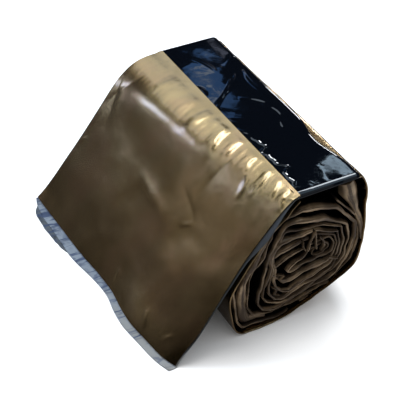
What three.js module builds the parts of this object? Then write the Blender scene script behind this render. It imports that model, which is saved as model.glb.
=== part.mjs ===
// A film sleeping bag, rolled up on its side, with its loose mouth end hanging from the top to the ground.
// X runs along the roll, -Y is the side of the loose end, and Z is up from the flat spot under the roll.
import * as THREE from "three";

// Driving sizes, in millimetres
const rollLength = 120;
const rollHeight = 65;
const seamY = 8; // line on top where the loose end meets the black band
const bandBackY = 36.4; // back edge of the black band
const panelPly = 1; // thickness of a flat panel
const bandPly = 1;
const bandTurnDown = 2.6; // how far the band's ends fold down over the roll's ends
const seat = 0.3; // gap between pieces that touch
const edgeShow = 0.7; // how far the back panel shows beside the front one

// Winding of the roll, seen from its near end, +X
const coreY = 20.7;
const coreZ = 34;
const coreRadius = 5.2;
const coreStretch = 3.4; // how much the core is drawn out towards the lower lobe
const lobeDegrees = 215;
const lobeCrowding = 24; // degrees by which the steps crowd towards the lobe, where the film turns sharply
const turns = 5;
const stepsPerTurn = 34;
const seamDegrees = 113; // the winding ends here, under the seam
const plyShare = 0.66; // share of a turn's pitch that the wound film fills
const endStagger = 1.3; // how far the turns' ends stand in and out
const underBand = rollHeight - bandPly - seat;

// Radius about the core, by angle: the coil when fully wound, the loose last turn at the near end, part
// way along and at the far end, and the thickness of that turn
const windingRows = [
  { degrees: 113, coil: 30.4, near: 30.4, middle: 30.4, far: 30.4, ply: 3.4 },
  { degrees: 120, coil: 31.0, near: 29.4, middle: 29.8, far: 31.6, ply: 3.2 },
  { degrees: 128, coil: 30.0, near: 28.2, middle: 29.1, far: 33.0, ply: 3.0 },
  { degrees: 140, coil: 30.2, near: 28.8, middle: 30.0, far: 35.2, ply: 2.6 },
  { degrees: 155, coil: 29.4, near: 30.4, middle: 31.6, far: 37.4, ply: 4.2 },
  { degrees: 168, coil: 28.8, near: 32.6, middle: 33.9, far: 40.2, ply: 6.4 },
  { degrees: 180, coil: 28.8, near: 36.0, middle: 37.2, far: 42.8, ply: 7.6 },
  { degrees: 193, coil: 33.2, near: 42.4, middle: 42.9, far: 45.2, ply: 9.0 },
  { degrees: 207, coil: 37.2, near: 46.0, middle: 46.2, far: 47.2, ply: 9.4 },
  { degrees: 222, coil: 40.4, near: 49.2, middle: 49.6, far: 49.8, ply: 8.4 },
  { degrees: 240, coil: 32.8, near: 38.9, middle: 40.6, far: 40.6, ply: 4.6 },
  { degrees: 262, coil: 26.6, near: 28.8, middle: 35.4, far: 35.6, ply: 2.4 },
  { degrees: 288, coil: 23.6, near: 24.6, middle: 31.6, far: 32.2, ply: 2.2 },
  { degrees: 316, coil: 21.2, near: 24.8, middle: 27.4, far: 27.8, ply: 2.2 },
  { degrees: 342, coil: 18.4, near: 21.6, middle: 22.2, far: 22.6, ply: 2.2 },
  { degrees: 368, coil: 17.8, near: 21.2, middle: 21.2, far: 21.4, ply: 2.2 },
  { degrees: 395, coil: 19.4, near: 24.6, middle: 24.6, far: 24.6, ply: 2.2 },
  { degrees: 413, coil: 22.2, near: 32.2, middle: 32.0, far: 31.8, ply: 2.2 },
  { degrees: 424, coil: 23.8, near: 34.2, middle: 34.2, far: 34.2, ply: 2.2 },
  { degrees: 450, coil: 26.8, near: 31.4, middle: 31.4, far: 31.4, ply: 1.8 },
  { degrees: 473, coil: 30.4, near: 32.4, middle: 32.4, far: 32.4, ply: 1.2 },
];
const stations = [-60, -44, -22, 0, 20, 36, 47, 54, 60];
const middleStation = 38; // from here the roll's near end draws up off the ground

// Outer face of the front panel, from the seam to the mouth, at both ends of the roll
const panelRows = [
  { nearY: 7.7, nearZ: 65.0, farY: 7.7, farZ: 65.0, nearX: 60.0, farX: -60.0 },
  { nearY: 4.8, nearZ: 63.3, farY: 0.2, farZ: 64.8, nearX: 60.0, farX: -60.1 },
  { nearY: 0.4, nearZ: 59.6, farY: -8.6, farZ: 60.8, nearX: 60.1, farX: -60.3 },
  { nearY: -6.6, nearZ: 51.8, farY: -17.4, farZ: 51.8, nearX: 60.2, farX: -60.6 },
  { nearY: -14.6, nearZ: 42.4, farY: -28.0, farZ: 38.0, nearX: 60.4, farX: -61.0 },
  { nearY: -21.6, nearZ: 31.6, farY: -37.0, farZ: 26.5, nearX: 60.1, farX: -61.5 },
  { nearY: -28.6, nearZ: 20.6, farY: -45.0, farZ: 16.2, nearX: 59.9, farX: -62.1 },
  { nearY: -35.8, nearZ: 11.0, farY: -51.4, farZ: 8.0, nearX: 60.4, farX: -62.6 },
  { nearY: -40.8, nearZ: 5.0, farY: -55.0, farZ: 3.8, nearX: 61.2, farX: -62.9 },
  { nearY: -44.4, nearZ: 2.3, farY: -57.0, farZ: 2.3, nearX: 62.4, farX: -63.0 },
  { nearY: -47.0, nearZ: 2.3, farY: -58.8, farZ: 2.3, nearX: 63.8, farX: -63.0 },
];
const panelSteps = 24;
const panelColumns = 26;
const lipSteps = 2;

// By place along the mouth: how far its edge stands out from a straight line, and how far the back panel
// reaches past the front one
const mouthRows = [
  { x: -64, out: -0.4, lip: 1.6 },
  { x: -58, out: 0.0, lip: 3.4 },
  { x: -38, out: 0.6, lip: 5.2 },
  { x: -16, out: 1.1, lip: 5.0 },
  { x: 0, out: 0.8, lip: 3.2 },
  { x: 12, out: 1.2, lip: 2.4 },
  { x: 22, out: 2.9, lip: 2.8 },
  { x: 32, out: 3.9, lip: 3.0 },
  { x: 44, out: 3.4, lip: 2.9 },
  { x: 56, out: 2.4, lip: 2.8 },
  { x: 65, out: -0.2, lip: 2.8 },
];

// Soft creases pressed into the panels: from one place to another, as x and the share of the way down
const creaseRows = [
  { fromX: -26, fromDown: 0.3, toX: -20, toDown: 0.72, width: 2.6, height: 0.8 },
  { fromX: 8, fromDown: 0.44, toX: 13, toDown: 0.6, width: 2.4, height: 0.7 },
  { fromX: 36, fromDown: 0.3, toX: 18, toDown: 0.5, width: 3.2, height: 0.9 },
  { fromX: 2, fromDown: 0.78, toX: -8, toDown: 0.92, width: 2.4, height: 0.7 },
  { fromX: 40, fromDown: 0.76, toX: 36, toDown: 0.95, width: 2.2, height: 0.6 },
];

// Gathers that spread from the seam towards the fold at the top of the loose end
const gatherCount = 11;
const gatherHeight = 0.9;
const gatherReach = 0.3;

const radians = THREE.MathUtils.degToRad;
const { lerp, smoothstep } = THREE.MathUtils;

// A smooth curve through one or more columns of a table
function curveThrough(rows, places, columns) {
  const values = rows.flatMap((row) => columns.map((column) => row[column]));
  return new THREE.CubicInterpolant(places, new Float32Array(values), columns.length);
}

// One closed body between an outer and an inner grid of points, joined round their four edges
function bodyBetween(outer, inner) {
  const rows = outer.length;
  const columns = outer[0].length;
  const points = [...outer.flat(), ...inner.flat()];
  const faces = [];
  const at = (row, column) => row * columns + column;
  const under = (row, column) => rows * columns + at(row, column);
  const quad = (a, b, c, d) => faces.push(a, b, c, a, c, d);
  for (let row = 0; row < rows - 1; row++) {
    for (let column = 0; column < columns - 1; column++) {
      quad(at(row, column), at(row, column + 1), at(row + 1, column + 1), at(row + 1, column));
      quad(under(row, column), under(row + 1, column), under(row + 1, column + 1), under(row, column + 1));
    }
    const last = columns - 1;
    quad(at(row, 0), at(row + 1, 0), under(row + 1, 0), under(row, 0));
    quad(at(row + 1, last), at(row, last), under(row, last), under(row + 1, last));
  }
  for (let column = 0; column < columns - 1; column++) {
    const last = rows - 1;
    quad(at(0, column + 1), at(0, column), under(0, column), under(0, column + 1));
    quad(at(last, column), at(last, column + 1), under(last, column + 1), under(last, column));
  }
  const geometry = new THREE.BufferGeometry().setFromPoints(points);
  geometry.setIndex(faces);
  geometry.computeVertexNormals();
  return geometry;
}

// A grid of points moved below its own face, by a depth for each point, and kept off the ground and the seam
function sunkGrid(grid, depthAt, lowest) {
  return grid.map((line, row) =>
    line.map((point, column) => {
      const above = grid[Math.max(row - 1, 0)][column];
      const below = grid[Math.min(row + 1, grid.length - 1)][column];
      const before = line[Math.max(column - 1, 0)];
      const after = line[Math.min(column + 1, line.length - 1)];
      const normal = after.clone().sub(before).cross(below.clone().sub(above)).normalize();
      const sunk = point.clone().addScaledVector(normal, -depthAt(row, column));
      return sunk.set(sunk.x, Math.min(sunk.y, seamY - seat), Math.max(sunk.z, lowest));
    }),
  );
}

const windingPlaces = windingRows.map((row) => row.degrees);
const winding = curveThrough(windingRows, windingPlaces, ["coil", "near", "middle", "far", "ply"]);

// The last turn's radius at a place along the roll
function looseRadius(x, near, middle, far) {
  if (x < middleStation) {
    return lerp(far, middle, (x + rollLength / 2) / (middleStation + rollLength / 2));
  }
  return lerp(middle, near, smoothstep(x, middleStation, rollLength / 2));
}

// Outer and inner edge of the wound film, where it has gone round so many turns from the core
function woundFilm(turn, x) {
  const angle = radians(seamDegrees + 360 * turn);
  const isLoose = turn > turns - 1;
  const place = seamDegrees + 360 * (turn < turns ? turn % 1 : 1);
  const [tight, near, middle, far, loosePly] = winding.evaluate(place);
  const loose = looseRadius(x, near, middle, far);
  const core = coreRadius + coreStretch * Math.max(Math.cos(angle - radians(lobeDegrees)), 0) ** 2;
  const coil = tight + loose - near;
  const radius = isLoose ? loose : lerp(core, coil, turn / (turns - 1));
  const ply = isLoose ? loosePly : (plyShare * (coil - core)) / (turns - 1);
  const top = turn > turns - 0.5 ? underBand : rollHeight;
  const edge = (reach, inset) =>
    new THREE.Vector2(
      coreY + reach * Math.cos(angle),
      THREE.MathUtils.clamp(coreZ + reach * Math.sin(angle), inset, top - inset),
    );
  return { outer: edge(radius, 0), inner: edge(radius - ply, ply) };
}

// The turns wound after so many even steps, with the steps crowded towards the lobe
function turnsAfter(step) {
  const even = step / stepsPerTurn;
  const fromLobe = (turn) => radians(seamDegrees + 360 * turn - lobeDegrees);
  return even - (lobeCrowding / 360) * (Math.sin(fromLobe(even)) - Math.sin(fromLobe(0)));
}

// The turns' ends stand in and out a little, except for the last turn under the band
function endInset(turn) {
  const inner = smoothstep(turns - turn, 0.3, 1.4);
  return inner * endStagger * (1 + Math.sin(2.4 * Math.PI * turn)) * 0.5;
}

function rolledFilm() {
  const count = turns * stepsPerTurn;
  const outer = [];
  const inner = [];
  for (const station of stations) {
    const outerLine = [];
    const innerLine = [];
    for (let step = 0; step <= count; step++) {
      const turn = turnsAfter(step);
      const film = woundFilm(turn, station);
      const x = station * (1 - endInset(turn) / (rollLength / 2));
      outerLine.push(new THREE.Vector3(x, film.outer.x, film.outer.y));
      innerLine.push(new THREE.Vector3(x, film.inner.x, film.inner.y));
    }
    outer.push(outerLine);
    inner.push(innerLine);
  }
  return bodyBetween(outer, inner);
}

const panelPlaces = panelRows.map((row, index) => index / (panelRows.length - 1));
const panelCurve = curveThrough(panelRows, panelPlaces, ["nearY", "nearZ", "farY", "farZ", "nearX", "farX"]);
const mouthCurve = curveThrough(
  mouthRows,
  mouthRows.map((row) => row.x),
  ["out", "lip"],
);

// Height that the creases and gathers give the panels at a place
function panelRelief(x, { along, down }) {
  let height = 0;
  for (const crease of creaseRows) {
    const share = THREE.MathUtils.clamp(
      (down - crease.fromDown) / (crease.toDown - crease.fromDown),
      0,
      1,
    );
    const reach = Math.sin(Math.PI * share);
    const away = (x - lerp(crease.fromX, crease.toX, share)) / crease.width;
    height += crease.height * reach * Math.exp(-away * away);
  }
  const fade = smoothstep(down, 0.015, 0.08) * (1 - smoothstep(down, 0.12, gatherReach));
  const wave = 0.5 - 0.5 * Math.cos(2 * Math.PI * gatherCount * along ** 1.3);
  return height + gatherHeight * lerp(0.35, 1, along) * fade * wave;
}

// A point of the panels: along the roll from its far end, down from the seam to the mouth, past the mouth by
// a share of the lip, and aside of the near edge
function panelPoint({ along, down, past, aside }) {
  const [nearY, nearZ, farY, farZ, nearX, farX] = panelCurve.evaluate(down);
  const x = lerp(farX, nearX, along);
  const [out, lip] = mouthCurve.evaluate(x);
  const y = lerp(farY, nearY, along) - smoothstep(down, 0.45, 1) * out - past * lip;
  return new THREE.Vector3(x + aside, y, lerp(farZ, nearZ, along));
}

// The panels' places from the near end to the far one, with the lines of the back panel's lip and side edge
function panelGrid(lipLines, sideLines) {
  const grid = [];
  for (let step = 0; step <= panelSteps + lipLines; step++) {
    const line = [];
    for (let column = -sideLines; column <= panelColumns; column++) {
      line.push({
        along: 1 - Math.max(column, 0) / panelColumns,
        down: Math.min(step / panelSteps, 1),
        past: Math.max(step - panelSteps, 0) / lipSteps,
        aside: column < 0 ? edgeShow : 0,
      });
    }
    grid.push(line);
  }
  return grid;
}

// A panel whose outer face lies a depth below the front panel's outer face
function panelBody(depth, lowest, lipLines, sideLines) {
  const places = panelGrid(lipLines, sideLines);
  const plain = places.map((line) => line.map(panelPoint));
  const folded = sunkGrid(plain, (row, column) => -panelRelief(plain[row][column].x, places[row][column]), 0);
  const outer = sunkGrid(folded, () => depth, lowest + panelPly);
  const inner = sunkGrid(folded, () => depth + panelPly, lowest);
  return bodyBetween(outer, inner);
}

// The band lies flat on the roll's top, with its two ends folded down over the roll's ends
function blackBand() {
  const endX = rollLength / 2 + seat + bandPly;
  const path = [
    { x: -endX, z: rollHeight - bandTurnDown - bandPly },
    { x: -endX, z: rollHeight - bandPly },
    { x: -endX + bandPly, z: rollHeight },
    { x: 0, z: rollHeight },
    { x: endX - bandPly, z: rollHeight },
    { x: endX, z: rollHeight - bandPly },
    { x: endX, z: rollHeight - bandTurnDown - bandPly },
  ];
  const shapeLine = (y, inset) =>
    path.map(({ x, z }) => {
      const insideX = Math.sign(x) * Math.min(Math.abs(x), endX - inset);
      return new THREE.Vector3(insideX, y, Math.min(z, rollHeight - inset));
    });
  const places = [seamY, bandBackY];
  return bodyBetween(
    places.map((y) => shapeLine(y, 0)),
    places.map((y) => shapeLine(y, bandPly)),
  );
}

const bronzeFilm = new THREE.MeshStandardMaterial({ color: 0x8c7763, roughness: 0.32, metalness: 0.75 });
const silverFilm = new THREE.MeshStandardMaterial({ color: 0xc3ccd6, roughness: 0.3, metalness: 0.7 });
const blackFilm = new THREE.MeshStandardMaterial({ color: 0x090c10, roughness: 0.08, metalness: 0.2 });

function piece(name, geometry, material) {
  const mesh = new THREE.Mesh(geometry, material);
  mesh.name = name;
  return mesh;
}

const sleepingBag = new THREE.Group();
sleepingBag.add(
  piece("rolled_film", rolledFilm(), bronzeFilm),
  piece("front_panel", panelBody(0, panelPly + seat, 0, 0), bronzeFilm.clone()),
  piece("back_panel", panelBody(panelPly + seat, 0, lipSteps, 1), silverFilm),
  piece("black_band", blackBand(), blackFilm),
);

export default sleepingBag;
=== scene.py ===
# A film sleeping bag, rolled up on its side, with its loose mouth end hanging from the top to the floor
import itertools
import math

import bmesh
import bpy
import mathutils
import numpy as np
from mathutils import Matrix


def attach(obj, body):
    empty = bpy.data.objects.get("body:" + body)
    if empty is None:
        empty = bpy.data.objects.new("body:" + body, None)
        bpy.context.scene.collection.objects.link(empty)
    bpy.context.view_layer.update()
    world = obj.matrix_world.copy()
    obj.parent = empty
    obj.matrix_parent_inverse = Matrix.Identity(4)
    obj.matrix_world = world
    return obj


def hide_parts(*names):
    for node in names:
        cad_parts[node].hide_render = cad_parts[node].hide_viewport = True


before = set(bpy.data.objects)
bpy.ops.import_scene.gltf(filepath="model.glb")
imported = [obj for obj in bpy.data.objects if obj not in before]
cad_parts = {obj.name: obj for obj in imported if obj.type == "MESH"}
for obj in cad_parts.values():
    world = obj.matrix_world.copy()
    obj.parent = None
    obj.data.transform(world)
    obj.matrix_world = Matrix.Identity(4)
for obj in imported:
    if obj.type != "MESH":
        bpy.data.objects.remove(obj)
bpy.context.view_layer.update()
mm = 0.001  # the tables are in millimetres, the meshes in metres
scene = bpy.context.scene

# Camera

shot = {
    "place": (0.30447, -0.15931, 0.30026),
    "azimuth": 62.289,
    "elevation": 39.355,
    "lens": 86.54,
    "sensor": 36.0,
}


def addCamera():
    data = bpy.data.cameras.new("shot")
    data.lens = shot["lens"]
    data.sensor_width = shot["sensor"]
    data.clip_start = 0.01
    camera = bpy.data.objects.new("shot", data)
    camera.location = shot["place"]
    camera.rotation_euler = (math.radians(90 - shot["elevation"]), 0, math.radians(shot["azimuth"]))
    scene.collection.objects.link(camera)
    scene.camera = camera


addCamera()
print("camera placed")

# Nodes, for shaders and for geometry alike


class Wire:
    # a socket that sums can be written with
    def __init__(self, bench, socket):
        self.bench = bench
        self.socket = socket

    def beside(self, name):
        return Wire(self.bench, self.socket.node.outputs[name])

    def math(self, operation, *values):
        return self.bench.math(operation, self, *values)

    def inside(self, low, high):
        return self.math("MAXIMUM", low).math("MINIMUM", high)

    def between(self, low, high):
        # goes from low to high as the socket goes from 0 to 1
        return low + self.inside(0, 1) * (high - low)

    def __add__(self, value):
        return self.math("ADD", value)

    def __sub__(self, value):
        return self.math("SUBTRACT", value)

    def __mul__(self, value):
        return self.math("MULTIPLY", value)

    def __truediv__(self, value):
        return self.math("DIVIDE", value)

    def __rsub__(self, value):
        return self.bench.math("SUBTRACT", value, self)

    def __rtruediv__(self, value):
        return self.bench.math("DIVIDE", value, self)

    __radd__ = __add__
    __rmul__ = __mul__


class Bench:
    # a node tree, and the one way in which nodes are added to it
    def __init__(self, tree):
        self.tree = tree

    def node(self, kind, sockets=None, out=0, **settings):
        made = self.tree.nodes.new(kind)
        for name, value in settings.items():
            setattr(made, name, value)
        for key, value in (sockets or {}).items():
            if isinstance(value, Wire):
                self.tree.links.new(value.socket, made.inputs[key])
            else:
                made.inputs[key].default_value = value
        return Wire(self, made.outputs[out]) if made.outputs else None

    def math(self, operation, *values):
        return self.node("ShaderNodeMath", dict(enumerate(values)), operation=operation)

    def combine(self, x, y, z=0.0):
        return self.node("ShaderNodeCombineXYZ", {0: x, 1: y, 2: z})

    def blendColour(self, share, *colours):
        start, end = (colour if isinstance(colour, Wire) else (*colour, 1) for colour in colours)
        return self.node("ShaderNodeMix", {0: share, 6: start, 7: end}, 2, data_type="RGBA")

    def blendVector(self, share, start, end):
        return self.node("ShaderNodeMix", {0: share, 4: start, 5: end}, 1, data_type="VECTOR")

    def step(self, value, low, high):
        sockets = {0: value, 1: low, 2: high}
        return self.node("ShaderNodeMapRange", sockets, interpolation_type="SMOOTHSTEP")

    def cloud(self, place, size, detail=2.0, roughness=0.5, distortion=0.0):
        sockets = {"Vector": place, "Scale": 1 / size, "Detail": detail}
        sockets.update({"Roughness": roughness, "Distortion": distortion})
        return self.node("ShaderNodeTexNoise", sockets)

    def bump(self, depth, height):
        return self.node("ShaderNodeBump", {"Distance": depth, "Height": height})


# Finishes

bronzeLook = {
    "light": (0.375, 0.248, 0.108),
    "deep": (0.3, 0.193, 0.078),
    "warm": (0.4, 0.24, 0.112),
    "warmSize": 0.026,
    "warmFrom": (0.46, 0.66),
    "warmShare": 0.7,
    "patchSize": 0.018,
    "lightFrom": (0.36, 0.66),
    "metal": 1.0,
    "roughness": (0.21, 0.3),
    "coat": 0.6,
    "coatRoughness": 0.12,
    "crinkleSize": 0.0045,
    "crinkleDepth": 0.00006,
    "grainSize": 0.0011,
    "grainShare": 0.12,
}
woundLook = {
    # light and deep: partly random tone, partly painted highlight on some lines and turns and painted
    # shade on others
    "light": (0.52, 0.37, 0.225),
    "deep": (0.075, 0.05, 0.032),
    # inside: painted shade, the near-black of the film in the shaded spaces between the turns
    "inside": (0.008, 0.006, 0.005),
    "gapShadeFrom": (-0.0004, 0.0012),  # painted shade: the film is painted near-black from this far behind its rounded ends, where the spaces between the turns lie in shade
    "lineSize": 0.0045,
    "linesDrawn": (0.22, 0.011),  # the lines are long along the film, and wide across its depth
    "lightFrom": (0.4, 0.6),
    "patchSize": 0.009,
    "patchFrom": (0.34, 0.6),
    "patchLeast": 0.3,
    "turnSize": 0.022,  # along the film, so that one turn is lighter than the next: partly random tone, partly a painted highlight on some turns
    "turnFrom": (0.36, 0.62),
    "turnLeast": 0.15,
    "metal": 0.75,
    "roughness": (0.28, 0.4),
    "coat": 0.4,
    "creaseSize": 0.0032,
    "creaseDepth": 0.00006,
}
silverLook = {
    "light": (0.165, 0.19, 0.225),
    "deep": (0.085, 0.107, 0.15),
    # painted shade: the crease lines are painted dark blue, where shade falls in the creases
    "creaseShade": (0.03, 0.045, 0.09),
    "nearGrey": (0.2, 0.2, 0.195),  # greyer towards the near end
    "nearGreyFrom": (-0.005, 0.045),
    "side": (0.036, 0.039, 0.042),  # painted shade: the panel is painted dark where it stands up off the floor, in the shade under the front panel
    "sideShadeFrom": (0.003, 0.009),
    "metal": 0.35,
    "roughness": (0.3, 0.5),
    "mottleSize": 0.0032,
    "lightFrom": (0.3, 0.55),
    "creaseSize": 0.0042,
    "creaseFrom": (0.56, 0.64),
    "creaseDrawn": 0.2,
    "thinSize": 0.009,
    "thinFrom": (0.03, 0.012),
    "thinShare": 0.6,
    "crinkleDepth": 0.00012,
}
# painted shade: a darker copy of the silver film, for the torn strip, which shows in shade
shadedSilverLook = {
    **silverLook,
    "light": (0.07, 0.08, 0.092),
    "deep": (0.022, 0.026, 0.034),
    "nearGrey": (0.09, 0.09, 0.09),
}
blackLook = {
    "shade": (0.0014, 0.002, 0.0034),
    "roughness": (0.03, 0.09),
    "hazeSize": 0.012,
    "hazeFrom": (0.4, 0.8),
    "crinkleSize": 0.007,
    "crinkleDepth": 0.000025,
}


def newFinish(name):
    material = bpy.data.materials.new(name)
    material.use_nodes = True
    material.node_tree.nodes.clear()
    return material, Bench(material.node_tree)


def closeFinish(bench, sockets):
    shader = bench.node("ShaderNodeBsdfPrincipled", sockets)
    bench.node("ShaderNodeOutputMaterial", {"Surface": shader})


def bronzeFilm():
    look = bronzeLook
    material, bench = newFinish("bronze_film")
    place = bench.node("ShaderNodeTexCoord").beside("Object")
    patches = bench.cloud(place, look["patchSize"], 4, 0.55, 0.4)
    colour = bench.blendColour(bench.step(patches, *look["lightFrom"]), look["deep"], look["light"])
    warmth = bench.step(bench.cloud(place, look["warmSize"], 3, 0.5, 0.5), *look["warmFrom"])
    colour = bench.blendColour(warmth * look["warmShare"], colour, look["warm"])
    grain = bench.cloud(place, look["grainSize"], 3, 0.6)
    crinkles = bench.cloud(place, look["crinkleSize"], 3, 0.6, 0.8)
    sockets = {
        "Base Color": colour,
        "Metallic": look["metal"],
        "Roughness": (grain * 0.4 + patches * 0.6).between(*look["roughness"]),
        "Coat Weight": look["coat"],
        "Coat Roughness": look["coatRoughness"],
        "Normal": bench.bump(look["crinkleDepth"], crinkles + grain * look["grainShare"]),
    }
    closeFinish(bench, sockets)
    return material


def woundFilm():
    look = woundLook
    material, bench = newFinish("wound_bronze_film")
    place = bench.node("ShaderNodeTexCoord").beside("Object")
    around, wound, strand, behind = (
        bench.node("ShaderNodeAttribute", out=2, attribute_name=name)
        for name in ("around", "wound", "strand", "behind")
    )

    # fine lines that follow the film, and creases over it
    long, wide = look["linesDrawn"]
    alongFilm = bench.combine(wound * long, around.math("SINE") * wide, strand)
    lines = bench.cloud(alongFilm, look["lineSize"], 1, 0.5, 0.3)
    folds = bench.cloud(place, look["creaseSize"], 3, 0.6, 1.2)
    crease = (folds - 0.5).math("ABSOLUTE") * 4
    # the tone is partly random and partly painted highlight and painted shade: some lines, patches and
    # turns light, others deep
    patches = bench.step(bench.cloud(place, look["patchSize"], 2), *look["patchFrom"])
    turns = bench.step(bench.cloud(bench.combine(wound, strand), look["turnSize"], 1), *look["turnFrom"])
    tone = bench.step(lines * 0.8 + folds * 0.2, *look["lightFrom"])
    tone = tone * patches.between(look["patchLeast"], 1) * turns.between(look["turnLeast"], 1)
    colour = bench.blendColour(tone, look["deep"], look["light"])
    # painted shade: film behind its rounded ends is painted near-black, in the inside colour
    colour = bench.blendColour(bench.step(behind, *look["gapShadeFrom"]), colour, look["inside"])
    sockets = {
        "Base Color": colour,
        "Metallic": look["metal"],
        "Roughness": folds.between(*look["roughness"]),
        "Coat Weight": look["coat"],
        "Normal": bench.bump(look["creaseDepth"], crease + lines),
    }
    closeFinish(bench, sockets)
    return material


def silverFilm(name, look):
    material, bench = newFinish(name)
    place = bench.node("ShaderNodeTexCoord").beside("Object")
    mottle = bench.cloud(place, look["mottleSize"], 4, 0.6, 0.6)
    colour = bench.blendColour(bench.step(mottle, *look["lightFrom"]), look["deep"], look["light"])
    parts = bench.node("ShaderNodeSeparateXYZ", {0: place})
    x, y, z = (parts.beside(axis) for axis in "XYZ")
    colour = bench.blendColour(bench.step(x, *look["nearGreyFrom"]), colour, look["nearGrey"])
    across = bench.combine(x, y * look["creaseDrawn"])
    creases = bench.step(bench.cloud(across, look["creaseSize"], 2, 0.55, 1.4), *look["creaseFrom"])
    thin = (bench.cloud(across, look["thinSize"], 2, 0.5, 0.7) - 0.5).math("ABSOLUTE")
    thin = bench.step(thin, *look["thinFrom"]) * look["thinShare"]
    # painted shade in the crease lines
    colour = bench.blendColour(creases.math("MAXIMUM", thin), colour, look["creaseShade"])
    # painted shade where the panel stands up off the floor
    colour = bench.blendColour(bench.step(z, *look["sideShadeFrom"]), colour, look["side"])
    sockets = {
        "Base Color": colour,
        "Metallic": look["metal"],
        "Roughness": mottle.between(*look["roughness"]),
        "Normal": bench.bump(look["crinkleDepth"], mottle),
    }
    closeFinish(bench, sockets)
    return material


def blackFilm():
    look = blackLook
    material, bench = newFinish("black_gloss_film")
    place = bench.node("ShaderNodeTexCoord").beside("Object")
    haze = bench.step(bench.cloud(place, look["hazeSize"], 4, 0.6), *look["hazeFrom"])
    sockets = {
        "Base Color": (*look["shade"], 1),
        "Roughness": haze.between(*look["roughness"]),
        "IOR": 1.5,
        "Normal": bench.bump(look["crinkleDepth"], bench.cloud(place, look["crinkleSize"], 3, 0.5, 0.5)),
    }
    closeFinish(bench, sockets)
    return material


finishes = {
    "bronze": bronzeFilm(),
    "wound": woundFilm(),
    "silver": silverFilm("silver_film", silverLook),
    # the torn strip's finish: the silver film with painted shade
    "under": silverFilm("shaded_silver_film", shadedSilverLook),
    "black": blackFilm(),
}
print("finishes made")

# Shapes of film


def smoothStep(value, low, high):
    share = np.clip((value - low) / (high - low), 0, 1)
    return share * share * (3 - 2 * share)


def blend(start, end, share):
    return start + (end - start) * share


def asPoints(*values):
    return np.stack(np.broadcast_arrays(*values), axis=-1)


def lengthAlong(points):
    # how far along a line each of its points lies
    steps = np.linalg.norm(np.diff(points, axis=0), axis=1)
    return np.concatenate([[0], np.cumsum(steps)])


def curveThrough(places, values, at):
    # smooth values between the rows of a table
    places = np.asarray(places, float)
    values = np.asarray(values, float)
    slopes = np.gradient(values, places)
    slopes[1:-1] = (values[2:] - values[:-2]) / (places[2:] - places[:-2])
    spot = np.clip(np.searchsorted(places, at, side="right") - 1, 0, len(places) - 2)
    gap = places[spot + 1] - places[spot]
    share = np.clip((at - places[spot]) / gap, 0, 1)
    square = share * share
    cube = square * share
    return (
        (2 * cube - 3 * square + 1) * values[spot]
        + (cube - 2 * square + share) * gap * slopes[spot]
        + (3 * square - 2 * cube) * values[spot + 1]
        + (cube - square) * gap * slopes[spot + 1]
    )


def cloudHeight(points, size, seed):
    # smooth noise from about -1 to 1 that changes over one size
    cells = 40
    slants = np.random.default_rng(seed).normal(size=(cells, cells, cells, 3))
    slants /= np.linalg.norm(slants, axis=-1, keepdims=True)
    at = points / size + 1000.37  # keeps the places positive, and off the cells' corners
    low = np.floor(at).astype(int)
    part = at - low
    fade = part**3 * (part * (6 * part - 15) + 10)
    total = 0
    for corner in itertools.product((0, 1), repeat=3):
        spot = (low + corner) % cells
        slant = slants[spot[..., 0], spot[..., 1], spot[..., 2]]
        weight = np.prod(np.where(corner, fade, 1 - fade), axis=-1)
        total = total + weight * np.sum(slant * (part - corner), axis=-1)
    return total * 1.6


def foldedHeight(u, v, size, seed, folds=6):
    # film that has been crumpled: flat facets that meet in straight creases
    draw = np.random.default_rng(seed)
    total = 0
    for _ in range(folds):
        turn = draw.uniform(0, math.pi)
        pitch = size * draw.uniform(0.7, 2.0)
        phase = (u * math.cos(turn) + v * math.sin(turn)) / pitch + draw.uniform(0, 1)
        away = np.abs(phase % 1 - 0.5) * 2
        total = total + pitch * np.sqrt(away**2 + 0.01)
    return total / (folds * size)


def bentLine(points, count=24):
    # a line bent smoothly through three points
    start, middle, end = (np.array(point, float) for point in points)
    handle = 2 * middle - (start + end) / 2
    share = np.linspace(0, 1, count)[:, None]
    return (1 - share) ** 2 * start + 2 * share * (1 - share) * handle + share**2 * end


def awayFromLine(u, v, points):
    # distance to a bent line, the share of its length there, and the side on which it lies
    line = bentLine(points)
    best = np.full(u.shape, np.inf)
    reach = np.zeros(u.shape)
    side = np.zeros(u.shape)
    for step in range(len(line) - 1):
        start = line[step]
        along = line[step + 1] - start
        du = u - start[0]
        dv = v - start[1]
        share = np.clip((du * along[0] + dv * along[1]) / (along @ along), 0, 1)
        away = np.hypot(du - share * along[0], dv - share * along[1])
        nearer = away < best
        best = np.where(nearer, away, best)
        reach = np.where(nearer, (step + share) / (len(line) - 1), reach)
        side = np.where(nearer, np.sign(du * along[1] - dv * along[0]), side)
    return best, reach, side


def ridgeHeight(u, v, points, width, height, lean=0.0):
    # a soft ridge: lean makes one side steeper than the other
    best, reach, side = awayFromLine(u, v, points)
    away = best / (width * (1 + lean * side))
    return height * np.sin(math.pi * reach) * np.exp(-(away**2))


def turnHeight(u, v, points, spread, rise, roundness):
    # a turn in the film: it falls away on both sides of the line
    best, reach, _ = awayFromLine(u, v, points)
    away = (np.sqrt(best**2 + roundness**2) - roundness) / spread
    return rise * np.sin(math.pi * reach) ** 0.6 * np.exp(-away)


def gridNormals(points):
    across = np.gradient(points, axis=1)
    below = np.gradient(points, axis=0)
    normals = np.cross(across, below)
    return normals / np.linalg.norm(normals, axis=-1, keepdims=True)


def raised(points, height):
    return points + gridNormals(points) * height[..., None]


def sunk(points, depth):
    return points - gridNormals(points) * np.asarray(depth)[..., None]


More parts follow.
